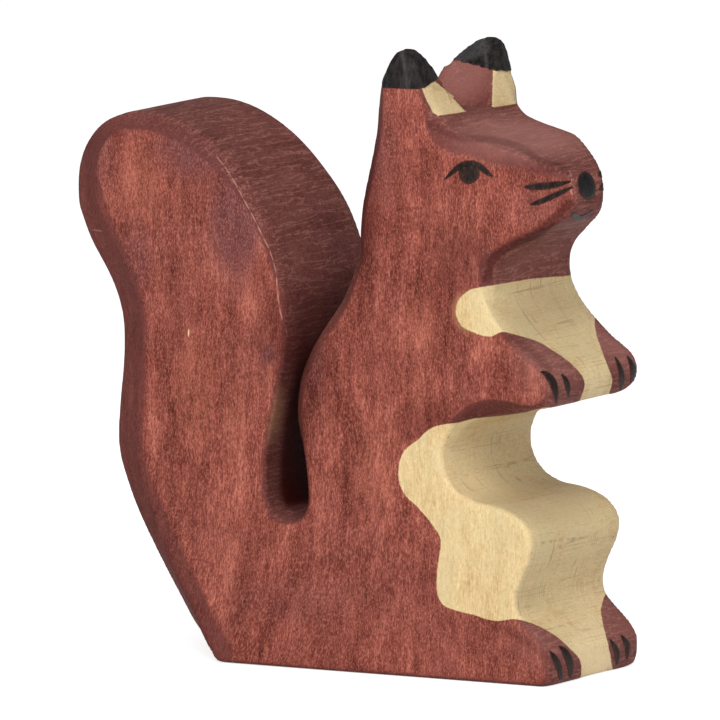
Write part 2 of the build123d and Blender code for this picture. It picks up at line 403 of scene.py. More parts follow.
def buildBorderGroup():
    # a brushed border: a measured distance turned into a slightly ragged mask
    group, given, found = newGroup("brushed_border", {
        "Place": "NodeSocketVector", "Distance": "NodeSocketFloat",
        "Ragged": "NodeSocketFloat", "Soft": "NodeSocketFloat",
    }, ("Mask",))
    coarse = stretchedNoise(group, given["Place"], *brushedBorder["coarse"])
    fine = stretchedNoise(group, given["Place"], *brushedBorder["fine"])
    shift = mathNode(group, "SUBTRACT", mixValues(group, brushedBorder["fineShare"], coarse, fine), 0.5)
    moved = mathNode(group, "ADD", given["Distance"], multiply(group, shift, given["Ragged"]))
    low = multiply(group, given["Soft"], -1)
    group.links.new(rampValue(group, moved, low, given["Soft"]), found["Mask"])
    return group


edgeWearAndHighlight = {
    "breaks": ((700, 700, 420), 4, 0.65),
    "uneven": 1.1,
    "cornerRamp": (1.5, 1.75, 0, 0.2),
    "rubRamp": (0.8, 1.15),
}


def buildEdgeWearAndHighlightGroup():
    # a painted highlight on sharp corners and rubbed edges where they were handled, both broken by noise
    group, given, found = newGroup("rubbed_and_highlit_edge", {
        "Place": "NodeSocketVector", "Edge": "NodeSocketFloat", "Rub": "NodeSocketFloat",
    }, ("Mask",))
    breaks = stretchedNoise(group, given["Place"], *edgeWearAndHighlight["breaks"])
    uneven = multiply(group, mathNode(group, "SUBTRACT", breaks, 0.5), edgeWearAndHighlight["uneven"])
    lifted = mathNode(group, "ADD", given["Edge"], uneven)
    light = rampValue(group, lifted, *edgeWearAndHighlight["cornerRamp"])
    rubbed = multiply(group, rampValue(group, lifted, *edgeWearAndHighlight["rubRamp"]), given["Rub"])
    group.links.new(mathNode(group, "MAXIMUM", light, rubbed), found["Mask"])
    return group


paleScratch = {
    "uneven": ((1600, 1600, 1600), 2, 0.5),
    "widths": (0.5, 1.5),
    "rim": (-0.04 * mm, 0.06 * mm),
}


def buildScratchGroup():
    # a narrow chip between two places, pointed at both ends
    group, given, found = newGroup("pale_scratch", {
        "Place": "NodeSocketVector", "Start": "NodeSocketVector",
        "End": "NodeSocketVector", "Width": "NodeSocketFloat",
    }, ("Mask",))
    reach = vectorNode(group, "SUBTRACT", {0: given["Place"], 1: given["Start"]}).outputs[0]
    line = vectorNode(group, "SUBTRACT", {0: given["End"], 1: given["Start"]}).outputs[0]
    along = mathNode(group, "DIVIDE", dotNode(group, reach, line), dotNode(group, line, line), True)
    scaled = vectorNode(group, "SCALE", {0: line, 3: along}).outputs[0]
    away = vectorNode(group, "DISTANCE", {0: reach, 1: scaled}).outputs["Value"]
    taper = multiply(group, mathNode(group, "SUBTRACT", 1, along), multiply(group, along, 4))
    uneven = stretchedNoise(group, given["Place"], *paleScratch["uneven"])
    half = multiply(group, given["Width"], taper)
    half = multiply(group, half, mixValues(group, uneven, *paleScratch["widths"]))
    inside = mathNode(group, "SUBTRACT", half, away)
    group.links.new(rampValue(group, inside, *paleScratch["rim"]), found["Mask"])
    return group


grainGroup = buildGrainGroup()
borderGroup = buildBorderGroup()
edgeWearAndHighlightGroup = buildEdgeWearAndHighlightGroup()
scratchGroup = buildScratchGroup()


def useGroup(tree, group, inputs):
    return addNode(tree, "ShaderNodeGroup", inputs, node_tree=group).outputs


def readAttribute(tree, name, output="Fac"):
    return addNode(tree, "ShaderNodeAttribute", attribute_name=name).outputs[output]


def newMaterial(name):
    material = bpy.data.materials.new(name)
    material.use_nodes = True
    tree = material.node_tree
    return material, tree, tree.nodes["Principled BSDF"]


def plankColour(tree, narrow, grain, facts):
    # one ramp of colours on the sides and another on the sawn faces
    ramps = []
    for name, share in zip(("side", "front"), facts["blotchShares"]):
        value = mixValues(tree, share, grain["Streak"], grain["Blotch"])
        ramps.append(colourRamp(tree, value, facts[name]))
    return mixColours(tree, narrow, *ramps)


def finishSurface(tree, shader, colour, grain, height, facts):
    # the grain makes it rougher and smoother, and raises it
    rough = rampValue(tree, grain["Streak"], *facts["roughRamp"])
    bump = addNode(tree, "ShaderNodeBump", {"Height": height, "Strength": 1, "Distance": facts["bumpDepth"]})
    tree.links.new(colour, shader.inputs["Base Color"])
    tree.links.new(rough, shader.inputs["Roughness"])
    tree.links.new(bump.outputs[0], shader.inputs["Normal"])
    shader.inputs["Specular IOR Level"].default_value = facts["specular"]


# a ramp is where it starts and ends, and then what it gives there; side and front are stops of a colour ramp
bareWood = {
    "side": (
        (0.38, (188, 158, 112)), (0.46, (211, 183, 134)), (0.53, (226, 199, 148)), (0.62, (242, 216, 166)),
    ),
    "front": (
        (0.36, (192, 163, 118)), (0.46, (213, 187, 141)), (0.56, (226, 202, 155)), (0.7, (238, 216, 172)),
    ),
    "blotchShares": (0.35, 0.45),
    "shade": (206, 188, 144),
    "shadeRamp": (0.44, 0.6, 0, 0.55),
    "paintedShade": (166, 144, 108),  # painted shade under the chin and the arm; the next is painted light
    "paintedLight": (250, 226, 182),
    "hairline": (138, 108, 70),
    "hairlines": {"cross": ((1000, 12, 1000), 0), "up": ((30, 850, 30), 0)},
    "hairWidths": {"cross": 0.022, "up": 0.017},
    "hairBreaks": ((420, 420, 420), 2, 0.5),
    "breakRamp": (0.4, 0.6),
    "hairShares": (0.06, 0.5),
    "pitRamp": (0.46, 0.32, 0, 0.22),
    "poreShare": 0.16,
    "roughRamp": (0.3, 0.7, 0.64, 0.5),
    "specular": 0.15,
    "bumpDepth": 0.035 * mm,
}


def woodColour(tree, place, narrow, grain):
    # pale sanded wood with pits, pores and straight hairlines across each other
    colour = plankColour(tree, narrow, grain, bareWood)
    tint = rampValue(tree, grain["Blotch"], *bareWood["shadeRamp"])
    colour = mixColours(tree, tint, colour, linear(*bareWood["shade"]))
    # painted shade and painted light on the sawn faces
    for name in ("paintedShade", "paintedLight"):
        colour = mixColours(tree, readAttribute(tree, name), colour, linear(*bareWood[name]))
    cross, up = [
        ridgeValue(tree, stretchedNoise(tree, place, *facts), bareWood["hairWidths"][name])
        for name, facts in bareWood["hairlines"].items()
    ]
    broken = rampValue(tree, stretchedNoise(tree, place, *bareWood["hairBreaks"]), *bareWood["breakRamp"])
    hair = multiply(tree, mathNode(tree, "MAXIMUM", cross, up), broken)
    hair = multiply(tree, hair, mixValues(tree, narrow, *bareWood["hairShares"]))
    colour = mixColours(tree, hair, colour, linear(*bareWood["hairline"]))
    pits = rampValue(tree, grain["Speck"], *bareWood["pitRamp"])
    pores = mathNode(tree, "MAXIMUM", pits, multiply(tree, grain["Pore"], bareWood["poreShare"]))
    return mixColours(tree, pores, colour, linear(*bareWood["hairline"]))


def readPlank(tree):
    # the place in the plank, how far a face is a sawn one, and the grain there
    place = readAttribute(tree, "grainPlace", "Vector")
    narrow = readAttribute(tree, "narrow")
    return place, narrow, useGroup(tree, grainGroup, {"Place": place, "Narrow": narrow})


def buildWoodMaterial():
    material, tree, shader = newMaterial("bare_wood")
    place, narrow, grain = readPlank(tree)
    colour = woodColour(tree, place, narrow, grain)
    finishSurface(tree, shader, colour, grain, grain["Height"], bareWood)
    return material


brownStain = {
    "side": ((0.4, (86, 38, 32)), (0.47, (123, 62, 52)), (0.53, (148, 79, 68)), (0.6, (188, 112, 94))),
    "front": ((0.36, (81, 43, 40)), (0.46, (103, 58, 54)), (0.56, (119, 71, 66)), (0.68, (140, 92, 84))),
    "blotchShares": (0.36, 0.35),
    "shadow": (104, 58, 56),
    "cloud": ((80, 80, 48), 4, 0.6, 0.4),
    "cloudStreak": 0.25,
    "shadowRamp": (0.48, 0.62, 0, 0.18),
    "tan": (180, 106, 85),
    "mauve": (110, 66, 67),
    "patchStreak": 0.5,
    "patchRamp": (0.36, 0.58, 0.35, 1.15),
    "fleck": (204, 136, 116),
    "fleckRamp": (0.52, 0.66, 0, 0.27),
    "pit": (84, 34, 30),
    "pitRamp": (0.48, 0.34, 0, 0.38),
    "frontSpecks": 0.45,
    # painted shade on the carved facets
    "facetShade": (94, 52, 50),
    "facetUneven": 1.6,
    "facetRamp": (0.2, 0.9),
    "facetReach": (0, 0.3),
    "facetShare": 0.72,
    "pore": (62, 28, 26),
    "poreShare": 0.3,
    "line": (170, 116, 103),
    "lineShare": 0.5,
    # paler wear and painted sheen on the brow, throat, paws and feet
    "paleWearAndSheen": (190, 132, 122),
    # painted shade in the slot, under the chin and the arm and along the creases
    "deepShade": (70, 28, 26),
    # painted shade deep in the slot
    "slotShade": (50, 6, 4),
    "thin": (196, 148, 108),
    # rubbed edges and a painted highlight on sharp corners
    "wearAndShading": (212, 156, 138),
    "ragged": 0.3,
    "soft": 0.07,
    "roughRamp": (0.3, 0.7, 0.68, 0.5),
    "specular": 0.03,
    "bumpDepth": 0.045 * mm,
}


def stainShares(tree, place, narrow, grain):
    # how strongly each tone of the stain, painted shade and painted sheen shows, in the order in which they
    # lie over each other
    cloud = stretchedNoise(tree, place, *brownStain["cloud"])
    cloud = mixValues(tree, brownStain["cloudStreak"], cloud, grain["Streak"])
    uneven = multiply(tree, mathNode(tree, "SUBTRACT", grain["Blotch"], 0.5), brownStain["facetUneven"])
    carved = readAttribute(tree, "facetShade")
    facetShade = rampValue(tree, mathNode(tree, "ADD", carved, uneven), *brownStain["facetRamp"])
    facetShade = multiply(tree, facetShade, rampValue(tree, carved, *brownStain["facetReach"]))
    patchy = mixValues(tree, brownStain["patchStreak"], grain["Streak"], grain["Blotch"])
    patchy = rampValue(tree, patchy, *brownStain["patchRamp"])
    flat = rampValue(tree, narrow, 0, 1, 1, brownStain["frontSpecks"])
    shares = {
        "shadow": rampValue(tree, cloud, *brownStain["shadowRamp"]),
        "tan": multiply(tree, readAttribute(tree, "tan"), patchy),
        "mauve": multiply(tree, readAttribute(tree, "mauve"), patchy),
        "fleck": multiply(tree, flat, rampValue(tree, grain["Speck"], *brownStain["fleckRamp"])),
        "pit": multiply(tree, flat, rampValue(tree, grain["Speck"], *brownStain["pitRamp"])),
        # painted shade on the facets
        "facetShade": multiply(tree, facetShade, brownStain["facetShare"]),
        "pore": multiply(tree, grain["Pore"], brownStain["poreShare"]),
        "line": multiply(tree, grain["Line"], brownStain["lineShare"]),
    }
    # then wear with painted sheen, painted shade under the head and arm, the slot's painted shade, and thin
    # stain
    for name in ("paleWearAndSheen", "deepShade", "slotShade", "thin"):
        shares[name] = readAttribute(tree, name)
    return shares


def scratchColour(tree, colour):
    # every chip and rubbed edge over the stain, and the painted highlight along the tail's inner edge
    place = addNode(tree, "ShaderNodeTexCoord").outputs["Object"]
    for mark in scratchMarks:
        spots = [stainPlace(*pixel) for pixel in mark["path"]]
        for start, end in zip(spots, spots[1:]):
            scratch = useGroup(tree, scratchGroup, {
                "Place": place, "Start": start, "End": end, "Width": mark["width"],
            })
            share = multiply(tree, scratch["Mask"], mark["share"])
            colour = mixColours(tree, share, colour, linear(*mark["colour"]))
    return colour


def buildStainMaterial():
    material, tree, shader = newMaterial("brown_stain")
    place, narrow, grain = readPlank(tree)
    colour = plankColour(tree, narrow, grain, brownStain)
    for name, share in stainShares(tree, place, narrow, grain).items():
        colour = mixColours(tree, share, colour, linear(*brownStain[name]))
    # rubbed edges, and a painted highlight on every sharp corner
    wearAndShading = useGroup(tree, edgeWearAndHighlightGroup, {
        "Place": place, "Edge": readAttribute(tree, "edge"), "Rub": readAttribute(tree, "rub"),
    })
    colour = mixColours(tree, wearAndShading["Mask"], colour, linear(*brownStain["wearAndShading"]))
    colour = scratchColour(tree, colour)
    border = useGroup(tree, borderGroup, {
        "Place": place, "Distance": readAttribute(tree, "bare"),
        "Ragged": brownStain["ragged"], "Soft": brownStain["soft"],
    })
    colour = mixColours(tree, border["Mask"], colour, woodColour(tree, place, narrow, grain))
    finishSurface(tree, shader, colour, grain, grain["Height"], brownStain)
    return material


brushPaint = {
    "fine": ((1500, 1500, 700), 4, 0.6, 0.3),
    "toneRamp": (0.35, 0.7),
    # painted sheen on the black ear tips
    "paintedSheen": (104, 103, 105),
    "sheenRamp": (0.4, 0.58, 0.4, 1),
    "rimUneven": 0.5,
    "thinRamp": (0.55, 1.35, 0),
    "speckStreak": 0.5,
    "speckRamp": (0.53, 0.63, 0),
    "under": (112, 66, 54),
    "roughRamp": (0.3, 0.7, 0.66, 0.54),
    "specular": 0.14,
    "bumpDepth": 0.03 * mm,
}


def buildPaintMaterial(name, dark, light, thinShare, speckShare):
    # black paint, thin enough for the grain to show through
    material, tree, shader = newMaterial(name)
    place = addNode(tree, "ShaderNodeTexCoord").outputs["Object"]
    grain = useGroup(tree, grainGroup, {"Place": place, "Narrow": 0.0})
    fine = stretchedNoise(tree, place, *brushPaint["fine"])
    colour = mixColours(tree, rampValue(tree, fine, *brushPaint["toneRamp"]), linear(*dark), linear(*light))
    # painted sheen on the ear tips' ridges and far slope
    paintedSheen = rampValue(tree, grain["Streak"], *brushPaint["sheenRamp"])
    paintedSheen = multiply(tree, readAttribute(tree, "paintedSheen"), paintedSheen)
    colour = mixColours(tree, paintedSheen, colour, linear(*brushPaint["paintedSheen"]))
    rim = mathNode(tree, "ADD", readAttribute(tree, "rim"), multiply(tree, fine, brushPaint["rimUneven"]))
    thin = rampValue(tree, rim, *brushPaint["thinRamp"], thinShare)
    speck = mixValues(tree, brushPaint["speckStreak"], grain["Speck"], grain["Streak"])
    speck = rampValue(tree, speck, *brushPaint["speckRamp"], speckShare)
    colour = mixColours(tree, mathNode(tree, "MAXIMUM", thin, speck), colour, linear(*brushPaint["under"]))
    finishSurface(tree, shader, colour, grain, mathNode(tree, "ADD", grain["Height"], fine), brushPaint)
    return material


woodMaterial = buildWoodMaterial()
blackPaint = buildPaintMaterial("black_paint", (15, 13, 13), (44, 42, 41), thinShare=0.25, speckShare=0.14)
thinPaint = buildPaintMaterial("thin_black_paint", (12, 8, 7), (38, 28, 25), thinShare=0.4, speckShare=0.36)
nosePaint = buildPaintMaterial("nose_black_paint", (9, 9, 9), (27, 27, 29), thinShare=0.2, speckShare=0.05)
mouthPaint = buildPaintMaterial(
    "worn_black_paint", (50, 38, 43), (80, 60, 66), thinShare=0.35, speckShare=0.2,
)
print("wood and paint ready")

# the carved body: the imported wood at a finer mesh, with the edges a knife and sandpaper leave
carving = {
    "weld": 0.002 * mm,
    "voxel": 0.43 * mm,
    "smoothing": 4,
    "smoothShare": 0.5,
    "waveDepth": 0.08 * mm,
    "waveLength": 11 * mm,
    "flatFoot": (0.2 * mm, 1.5 * mm),  # the waves fade out towards the underside
}
# the last strokes of the knife, in millimetres: centre, reach and how far the wood ends up moved
knifeShifts = (
    ((13.4, -9, 79.6), (3.2, 4, 2.4), (0, 0, 0.5)),
    ((10.6, -9, 77.5), (1.2, 4, 2.5), (0.25, 0, 0)),
    ((16.4, -9, 76.5), (1.6, 4, 2.5), (0.12, 0, 0)),
    ((9.3, 4.6, 74.2), (3.2, 3.2, 3.6), (0, 0, 1.1)),
    ((9.3, -4.6, 74.2), (3.2, 3.2, 3.6), (0, 0, 1.1)),
    ((9.8, 10.6, 77.9), (2.4, 2.6, 2.4), (0, 0, -0.4)),
)


def carveBody():
    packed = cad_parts["wooden_figure"]
    body = meshCopy(packed, "bare_wood_figure")
    editAll(bpy.ops.mesh.remove_doubles, threshold=carving["weld"])
    applyModifier(body, "REMESH", mode="VOXEL", voxel_size=carving["voxel"], use_smooth_shade=True)
    applyModifier(body, "SHRINKWRAP", target=packed, wrap_method="NEAREST_SURFACEPOINT")
    applyModifier(body, "SMOOTH", factor=carving["smoothShare"], iterations=carving["smoothing"])
    spots = places(body)
    waves = np.array([noise.noise(Vector(spot) / carving["waveLength"]) for spot in spots])
    waves *= carving["waveDepth"] * smoothStep(spots[:, 2], *carving["flatFoot"])
    spots += normals(body) * waves[:, None]
    spots[:, 2] = np.maximum(spots[:, 2], 0)
    shifts = np.zeros_like(spots)
    for centre, reach, shift in knifeShifts:
        shifts += spotShare(spots, centre, reach)[:, None] * np.array(shift) * mm
    movePlaces(body, spots + shifts)
    useMaterial(body, woodMaterial)
    return body


# borders of the bare wood, listed clockwise along the photograph in pixels
chestBorder = (
    (480, 287.5), (470, 290), (461, 297), (457, 304), (456, 313), (459, 321), (464, 328), (476, 333),
    (485, 336), (493, 336), (502, 332), (515, 335), (530, 339), (542, 344), (553, 351), (565, 359),
    (575, 368), (582, 376), (584.5, 384), (583, 391), (580, 399), (579, 408), (609, 402), (609, 393),
    (611, 386), (611.5, 378), (608, 368), (604, 358), (600, 346), (596.5, 336), (594.5, 325), (596, 315),
    (606, 305), (603, 285), (590, 272), (572, 275.5), (551, 277), (530, 279), (500, 284),
)
bellyBorder = (
    (475, 418), (462, 421.5), (450, 423.5), (440, 425), (432, 428), (425, 433), (418, 440), (408, 447),
    (402, 455), (399, 465), (398.5, 478), (401, 487), (407, 497), (418, 507), (427, 518), (435, 528),
    (440, 537), (441, 546), (439.5, 556), (437.5, 570), (437, 585), (438, 595), (441, 602), (447, 607),
    (458, 611), (475, 615), (488, 619.5), (500, 621), (516, 619), (535, 625), (547, 631), (558, 638),
    (568, 647), (576, 655), (580, 661), (581, 673), (581, 692), (612, 684), (611, 663), (610, 655),
    (607, 642), (604, 630), (602, 620), (600.5, 610), (603, 600), (607, 590), (613, 578), (616, 560),
    (630, 545), (632, 515), (612, 488), (575, 464), (552, 445), (548, 425), (550, 407), (525, 412),
    (500, 415.5),
)
nearEarBorder = (
    (420, 80), (421.4, 88), (424.5, 96), (429.5, 106.2), (433, 113), (437.6, 116), (455, 113.4),
    (471.7, 110.5), (462, 103), (449, 93), (437, 83.6), (430, 76),
)
farEarBorder = (
    (492.6, 60), (492.8, 72), (492.2, 90), (491.6, 107.9), (508, 105.2), (526, 102.2), (517.5, 88),
    (510, 72), (505, 60),
)
bareLimits = {
    "borderSteps": 3,
    "side": 0.85,  # a face that turns this far to the side is part of the plank's flat side
    # how far a face may turn away before the stain covers it, and the pixels for each further part of a turn
    "chestTurn": (-0.15, 40),
    "earTurn": (0.12, 30),
    "hidden": (-0.06, 60),
}


def turnLimit(turns, name):
    # the most pixels inside the bare wood that a face of each turn can lie
    least, pace = bareLimits[name]
    return (turns - least) * pace


def bareDistance(spots, directions):
    # how far inside the bare wood each place lies, in millimetres, negative on the stain
    turned = directions.copy()
    turned[:, 1] = -np.abs(turned[:, 1])
    facing = turned @ np.array(viewBack)
    pixels = photoPixels(spots, directions)
    found = np.full(len(spots), -float(borderReach))
    for border in (chestBorder, bellyBorder):
        found = np.maximum(found, insideBorder(pixels, smoothLine(border, bareLimits["borderSteps"], True)))
    forward = np.minimum(found, turnLimit(directions[:, 0], "chestTurn"))
    found = np.where(np.abs(directions[:, 1]) > bareLimits["side"], found, forward)
    for border in (nearEarBorder, farEarBorder):
        patch = insideBorder(pixels, np.array(border, float))
        found = np.maximum(found, np.minimum(patch, turnLimit(directions[:, 0], "earTurn")))
    found = np.minimum(found, turnLimit(facing, "hidden"))
    return found * pixelSize / mm


sharpEdge = {"turns": 4, "height": 0.2 * mm}


def edgeSharpness(piece):
    # how far each place stands out of its surroundings, 1 on a sharp corner
    spots = places(piece)
    ends = edgeEnds(piece)
    count = np.bincount(ends.ravel(), minlength=len(spots))[:, None]
    even = spots.copy()
    for turn in range(sharpEdge["turns"]):
        total = np.zeros_like(even)
        np.add.at(total, ends[:, 0], even[ends[:, 1]])
        np.add.at(total, ends[:, 1], even[ends[:, 0]])
        even = total / np.maximum(count, 1)
    return ((spots - even) * normals(piece)).sum(1) / sharpEdge["height"]


# brushing, wear, painted sheen and painted shade: centre and reach in millimetres, then the strength
wearAndShadeSpots = {
    # wear and painted sheen on the brow, throat, paw and foot fronts and near the ears
    "paleWearAndSheen": (
        ((25, 0, 68.5), (9, 14, 4), 0.42),
        ((22, 0, 54), (8, 14, 6), 0.12),
        ((33, -8, 42), (5, 8, 6), 0.2),
        ((33, 9, 42), (5, 8, 6), 0.3),
        ((33, -8, 6), (5, 8, 5), 0.15),
        ((33, 9, 6), (5, 8, 5), 0.2),
        ((12, 6, 75), (5, 6, 6), 0.3),
    ),
    # painted shade by the slot, under the chin, behind the head and under the arm
    "deepShade": (
        ((-3, 0, 42), (6, 20, 9), 0.65),
        ((0, 0, 36), (5, 20, 10), 0.4),
        ((22, -10, 54), (5, 6, 5), 0.4),
        ((8, -12, 62), (2.5, 6, 14), 0.6),
        ((22, -12, 33), (12, 5, 3), 0.3),
    ),
    "rub": (
        ((-14.0, -11, 64), (5, 3, 4), 0.3),
        ((-8.5, -11, 57), (3, 3, 4), 0.3),
    ),
}
# places where the facets' painted shade fades
facetShadeFades = (
    ((-16, 0, 76), (14, 20, 6), 0.85),
    ((-30, 0, 70), (8, 20, 6), 0.5),
    ((1, 0, 38), (5, 20, 18), 0.75),
)
# cloudier stain on the sides, and painted shade and painted light on the bare wood of the sawn
# faces: centre and reach in the photograph's pixels, then the strength
stainMottles = {
    "mauve": (
        ((204, 142), (54, 44), 0.95),
        ((236, 212), (30, 76), 1),
        ((118, 108), (48, 26), 0.8),
        ((96, 150), (20, 46), 0.5),
        ((268, 355), (9, 12), 0.7),
        ((314, 352), (14, 50), 0.65),
        ((135, 260), (20, 40), 0.5),
        ((384, 150), (16, 60), 0.4),
        ((300, 600), (60, 26), 0.3),
        ((540, 200), (30, 30), 0.2),
    ),
    "tan": (
        ((142, 180), (28, 50), 0.3),
        ((194, 392), (24, 60), 0.4),
        ((234, 425), (12, 44), 0.4),
        ((372, 470), (22, 60), 0.3),
        ((420, 330), (20, 40), 0.25),
    ),
}
woodLightAndShade = {
    # painted shade on the chest and belly fronts, under the chin and the arm
    "paintedShade": (
        ((545, 312), (50, 30), 0.42),
        ((545, 500), (60, 34), 0.4),
        ((520, 600), (40, 16), 0.2),
    ),
    # painted light on the toes, between the forepaws and low on the belly, where they face the lamp
    "paintedLight": (
        ((597, 664), (34, 40), 0.62),
        ((596, 392), (26, 30), 0.35),
        ((600, 610), (30, 40), 0.2),
    ),
}
slotShadow = {  # painted shade in the slot between the tail and the back, darkest at its bottom
    "share": 0.97,
    "rear": (-8.5 * mm, -7 * mm),
    "front": (1.5 * mm, 0.2 * mm),
    "top": (46 * mm, 34 * mm),
    "floor": (18.6 * mm, 20.6 * mm),
    "litWall": (7 * mm, 9.5 * mm),  # from the plank's middle, where daylight starts and is whole
    "litShare": 0.55,
    "forwardWall": (0.2, 0.7),
}
thinStain = {  # spots where the wood shines through, the slot's on both sides of the animal
    "slot": ((-6.4, 11.8, 33.5), (2.2, 3.4, 5.2)),
    "slotShare": 0.3,
    "chest": ((21.5, -12, 46.5), (3, 3, 4.5)),
    "chestShare": 0.3,
    "brushed": (-0.9, -0.1),
}
plankFaces = {  # ramps over how far a face turns to the side, and over places
    "narrow": (0.8, 0.45),
    "sawn": (0.75, 0.45),
    "facetOuter": (0.985, 0.9),
    "facetInner": (0.35, 0.7),
    "cheekFront": (20 * mm, 23 * mm),
    "cheekFoot": (53 * mm, 57 * mm),
    "cheekTop": (68.5 * mm, 67 * mm),
    "cheekSlope": 0.33,
}
softEdges = {  # where a soft mark starts and where it is whole, as shares of its reach
    "spot": (1.25, 0.35),
    "cloud": (1.3, 0.3),
}
plankBend = {  # the grain bends backwards in the foot of the tail
    "height": 32 * mm,
    "rear": (16 * mm, -4 * mm),
    "depth": 0.12,
}
# painted shade along the corners and the rear facet, and painted sheen on the ear tips:
# pixels along it, half its width, its feather, strength and rearmost place
shadeAndSheenLines = {
    # painted shade along the brow, under the cheek, under the arm and in the creases by the chest and feet
    "deepShade": (
        ((
            (430, 123), (443, 132), (463, 138.5), (493, 140.5), (513, 145), (527, 152), (542, 163),
            (558, 167), (567, 172),
        ), 3.5, 1.2, 0.34, 14),
        ((
            (569, 204), (558, 214), (548, 224), (536, 233), (521, 239.5), (508, 246), (498, 253),
            (491, 262), (487, 280),
        ), 4.6, 1.2, 0.72, 20),
        ((
            (402, 440), (410, 425), (420, 415), (432, 409), (445, 405), (480, 404.5), (540, 404),
        ), 4.5, 1.2, 0.22, 10),
        (((497, 627), (517, 636), (534, 646), (546, 658)), 4, 3, 0.35, 10),
        (((505, 337), (522, 346), (538, 358), (548, 370)), 4, 3, 0.3, 10),
    ),
    # painted shade along the rear facet
    "facetShade": (
        ((
            (80, 150), (88, 180), (104, 230), (127, 280), (136, 330), (134, 400), (132, 430), (138, 470),
            (157, 520), (180, 570), (203, 618), (222, 652),
        ), 12, 3, 0.8, -40),
    ),
    # painted sheen on the ear tips' ridges and far slope
    "paintedSheen": (
        (((402, 48), (404, 62), (407, 76), (408, 90)), 2.2, 1.6, 0.3, -40),
        (((446, 66), (458, 56), (470, 50), (481, 47)), 9, 3, 0.3, -40),
        (((483, 36), (485, 50), (487, 70)), 1.2, 1, 0.4, -40),
    ),
}
shadeLineLayout = {"steps": 4, "rearFade": 1}  # steps between listed pixels, millimetres over which it starts
leftSide = {  # how far its faces turn, and the depth, forward and upward turn that bound its corners
    "turn": 0.45,
    "depth": 9 * mm,
    "forward": 0.5,
    "upward": 0.2,
}


def onLeftSide(spots, directions):
    # the squirrel's left side, which the photograph doesn't show, with the corners around it
    corner = (directions[:, 0] < leftSide["forward"]) & (directions[:, 2] < leftSide["upward"])
    return (directions[:, 1] > leftSide["turn"]) | corner & (spots[:, 1] > leftSide["depth"])


def photoPixels(spots, directions):
    # each place as the photograph shows it, with the left side mirrored onto the right
    turned = spots.copy()
    turned[onLeftSide(spots, directions), 1] *= -1
    return pixelsOf(turned)


def shadeAndSheenShare(spots, pixels, name):
    # how strong the painted shade or painted sheen line of that name is at each place
    found = np.zeros(len(spots))
    for path, halfWidth, feather, share, rearmost in shadeAndSheenLines.get(name, ()):
        line = smoothLine(path, shadeLineLayout["steps"])
        away = distanceToLine(pixels, line[:-1], line[1:] - line[:-1])
        ahead = smoothStep(spots[:, 0] / mm, rearmost, rearmost + shadeLineLayout["rearFade"])
        found = np.maximum(found, share * smoothStep(away, halfWidth + feather, halfWidth - feather) * ahead)
    return found


def softShare(spots, centre, reach, edges):
    # 1 in the middle of a soft mark, 0 outside it
    away = np.linalg.norm((spots - np.array(centre)) / np.array(reach), axis=1)
    return smoothStep(away, *edges)


def spotShare(spots, centre, reach):
    return softShare(spots / mm, centre, reach, softEdges["spot"])


def strongestMark(spots, marks, edges):
    found = np.zeros(len(spots))
    for centre, reach, share in marks:
        found = np.maximum(found, share * softShare(spots, centre, reach, edges))
    return found


def facetShadeValues(spots, directions, narrow):
    # painted shade: 1 on the carved facets and along the rear, faded at the listed places
    across = np.abs(directions[:, 1])
    cheek = smoothStep(spots[:, 0], *plankFaces["cheekFront"])
    cheek *= smoothStep(spots[:, 2], *plankFaces["cheekFoot"])
    slope = spots[:, 2] + plankFaces["cheekSlope"] * (spots[:, 0] - plankFaces["cheekFront"][0])
    cheek *= smoothStep(slope, *plankFaces["cheekTop"])
    facetShade = smoothStep(across, *plankFaces["facetOuter"]) * smoothStep(across, *plankFaces["facetInner"])
    facetShade *= 1 - cheek
    for centre, reach, share in facetShadeFades:
        facetShade *= 1 - share * spotShare(spots, centre, reach)
    return np.maximum(facetShade, shadeAndSheenShare(spots, photoPixels(spots, directions), "facetShade") * (1 - narrow))


def thinValues(spots, directions, narrow, bare):
    flipped = np.abs(spots) * (-1, 1, 1)
    thin = thinStain["slotShare"] * spotShare(flipped, *thinStain["slot"]) * narrow
    thin *= smoothStep(directions[:, 0], *slotShadow["forwardWall"])
    brushed = smoothStep(bare, *thinStain["brushed"]) * spotShare(spots, *thinStain["chest"])
    return np.maximum(thin, thinStain["chestShare"] * brushed)


def slotShadeValues(spots, directions):
    # painted shade in the slot, lighter where daylight reaches its wall
    slotShade = smoothStep(spots[:, 0], *slotShadow["rear"]) * smoothStep(spots[:, 0], *slotShadow["front"])
    slotShade *= smoothStep(spots[:, 2], *slotShadow["top"]) * smoothStep(spots[:, 2], *slotShadow["floor"])
    lit = smoothStep(np.abs(spots[:, 1]), *slotShadow["litWall"])
    lit *= smoothStep(directions[:, 0], *slotShadow["forwardWall"])
    sawn = smoothStep(np.abs(directions[:, 1]), *plankFaces["sawn"])
    return slotShadow["share"] * slotShade * sawn * (1 - slotShadow["litShare"] * lit)


